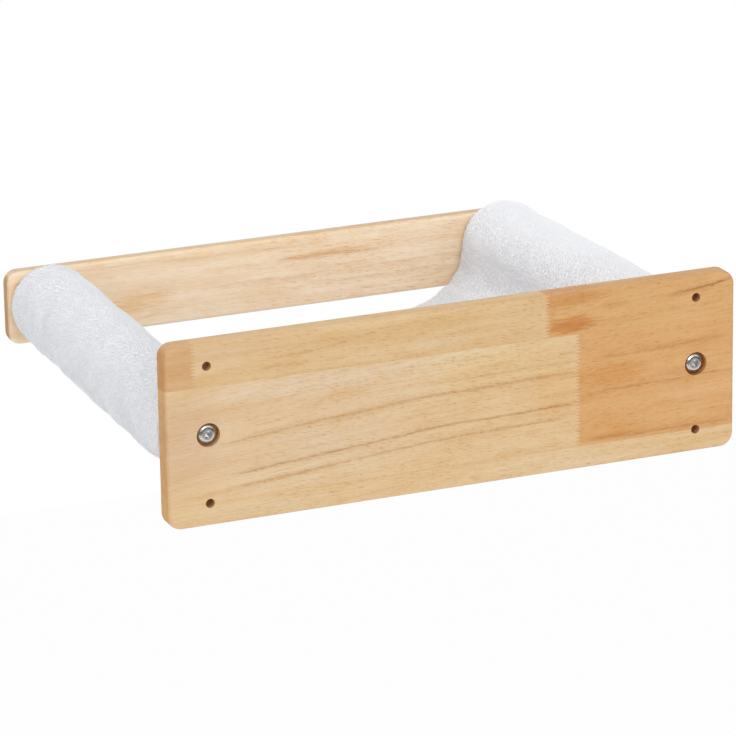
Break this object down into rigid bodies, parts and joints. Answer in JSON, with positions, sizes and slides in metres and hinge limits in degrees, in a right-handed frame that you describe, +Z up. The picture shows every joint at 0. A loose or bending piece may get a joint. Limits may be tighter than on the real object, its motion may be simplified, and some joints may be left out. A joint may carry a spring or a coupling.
{
  "type": "wall-mounted cat hammock",
  "caption": "Wall-mounted cat hammock: a plush sling on two dowels held between a wall board and a narrower outer board, all joined with bolts.",
  "frame": {"origin": "centre of the wall board's wall face, on the line of the bolts", "axes": "+Y points into the wall, -Y into the room; +X is to the right as seen from the room; +Z is up"},
  "size_m": [0.4044, 0.3257, 0.12],
  "materials": {
    "rubberwood_wall_board": "satin clear lacquer over finger-jointed rubberwood",
    "rubberwood_outer_board": "satin clear lacquer over pale rubberwood",
    "dowel_wood": "sanded rubberwood",
    "bolt_steel": "bright nickel-plated steel",
    "insert_zinc": "zinc alloy",
    "white_plush": "short white plush on a knitted backing"
  },
  "bodies": {
    "root": {"wall_board": "rubberwood_wall_board", "outer_board": "rubberwood_outer_board", "dowel_left": "dowel_wood", "dowel_right": "dowel_wood", "bolt_wall_left": "bolt_steel", "bolt_wall_right": "bolt_steel", "bolt_outer_left": "bolt_steel", "bolt_outer_right": "bolt_steel", "insert_wall_left": "insert_zinc", "insert_wall_right": "insert_zinc", "insert_outer_left": "insert_zinc", "insert_outer_right": "insert_zinc", "plush_sling": "white_plush"}
  },
  "joints": []
}
